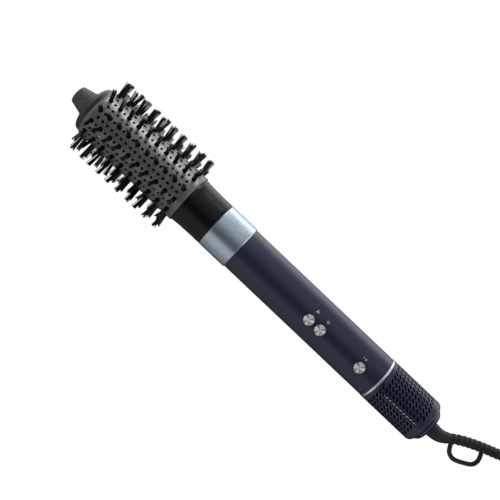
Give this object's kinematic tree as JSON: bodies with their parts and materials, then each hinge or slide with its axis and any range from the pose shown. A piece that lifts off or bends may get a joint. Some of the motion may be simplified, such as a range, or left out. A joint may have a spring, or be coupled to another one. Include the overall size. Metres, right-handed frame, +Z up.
{
  "type": "hot air styler",
  "caption": "Hot air styler with a perforated round bristle brush on a slim button handle, slotted inlet sleeve, swivel cord with a hanging loop and a coiled lead to a plug.",
  "frame": {"origin": "centre of the styler's footprint on the table, at table height, without the cord", "axes": "+X from the brush's nose toward the tail and the cord, +Z up with the buttons on top, +Y to the left when looking from the nose along +X"},
  "size_m": [0.5343, 0.0913, 0.0685],
  "materials": {
    "barrel_grey": "satin lacquer on perforated aluminium",
    "cool_black": "fine matt",
    "bristle_black": "matt nylon",
    "neck_black": "gloss",
    "collar_blue": "satin metallic steel blue",
    "handle_navy": "soft-touch satin",
    "sleeve_navy": "satin",
    "ring_chrome": "bright",
    "button_metal": "spun",
    "cord_black": "matt",
    "plug_black": "satin",
    "pin_metal": "nickel plated",
    "inner_black": "glass-filled, matt",
    "inner_grey": "moulded, matt",
    "steel": "plain",
    "mica": "mica sheet",
    "wire": "oxidised resistance wire",
    "board_green": "solder mask",
    "components": "mixed parts",
    "seal_red": "silicone",
    "mount_rubber": "soft",
    "copper": "laminations and windings",
    "magnet": "sintered",
    "lead_red": "sleeved wire",
    "plunger_ivory": "plain"
  },
  "bodies": {
    "handle": {"collar": "collar_blue", "outlet_spigot": "inner_black", "seal_ring": "seal_red", "mica_tube": "mica", "heater_boards": "mica", "heating_wire": "wire", "thermostat": "steel", "thermal_fuse": "steel", "handle_shell": "handle_navy", "chassis": "inner_grey", "circuit_board": "board_green", "board_parts": "components", "tact_switches": "components", "fan_duct": "inner_grey", "motor_can": "steel", "stator_core": "copper", "bearings": "steel", "duct_mounts": "mount_rubber", "trim_ring": "ring_chrome", "tail_core": "inner_grey", "tail_cap": "sleeve_navy", "screws": "steel", "leads": "lead_red"},
    "brush_head": {"cool_tip": "cool_black", "barrel": "barrel_grey", "neck": "neck_black", "spider": "inner_black", "tie_rod": "steel", "bristle_row_01": "bristle_black", "bristle_row_02": "bristle_black", "bristle_row_03": "bristle_black", "bristle_row_04": "bristle_black", "bristle_row_05": "bristle_black", "bristle_row_06": "bristle_black", "bristle_row_07": "bristle_black", "bristle_row_08": "bristle_black", "bristle_row_09": "bristle_black", "bristle_row_10": "bristle_black", "bristle_row_11": "bristle_black", "bristle_row_12": "bristle_black"},
    "fan_key": {"fan_button": "button_metal", "fan_plunger": "plunger_ivory"},
    "heat_key": {"heat_button": "button_metal", "heat_plunger": "plunger_ivory"},
    "power_key": {"power_button": "button_metal", "power_plunger": "plunger_ivory"},
    "fan_rotor": {"impeller": "inner_grey", "fan_shaft": "steel", "magnet_rotor": "magnet"},
    "inlet_sleeve": {"filter_sleeve": "sleeve_navy", "filter_mesh": "inner_black"},
    "cord_swivel": {"swivel_bush": "inner_black", "strain_relief": "cord_black", "hanging_loop": "cord_black", "cord_run": "cord_black", "cord_coil": "cord_black", "cord_end": "cord_black", "plug_body": "plug_black", "plug_pins": "pin_metal"}
  },
  "joints": [
    {"name": "brush_pull_off", "type": "slide", "parent": "handle", "child": "brush_head", "axis": [-0.9981, 0, 0.061], "range_m": [0, 0.034]},
    {"name": "fan_press", "type": "slide", "parent": "handle", "child": "fan_key", "axis": [-0.0607, 0.1045, -0.9927], "range_m": [0, 0.0004], "stiffness_N_per_m": 2500, "springref_m": -0.0001},
    {"name": "heat_press", "type": "slide", "parent": "handle", "child": "heat_key", "axis": [-0.0607, 0.1045, -0.9927], "range_m": [0, 0.0004], "stiffness_N_per_m": 2500, "springref_m": -0.0001},
    {"name": "power_press", "type": "slide", "parent": "handle", "child": "power_key", "axis": [-0.0607, 0.1045, -0.9927], "range_m": [0, 0.0004], "stiffness_N_per_m": 2500, "springref_m": -0.0001},
    {"name": "fan_spin", "type": "hinge", "parent": "handle", "child": "fan_rotor", "pos_m": [0.09073, 0, 0.02207], "axis": [-0.9981, 0, 0.061], "continuous": true},
    {"name": "sleeve_slide", "type": "slide", "parent": "handle", "child": "inlet_sleeve", "axis": [0.9981, 0, -0.061], "range_m": [0, 0.014]},
    {"name": "cord_turn", "type": "hinge", "parent": "handle", "child": "cord_swivel", "pos_m": [0.16838, 0, 0.01732], "axis": [0.9981, 0, -0.061], "continuous": true}
  ]
}
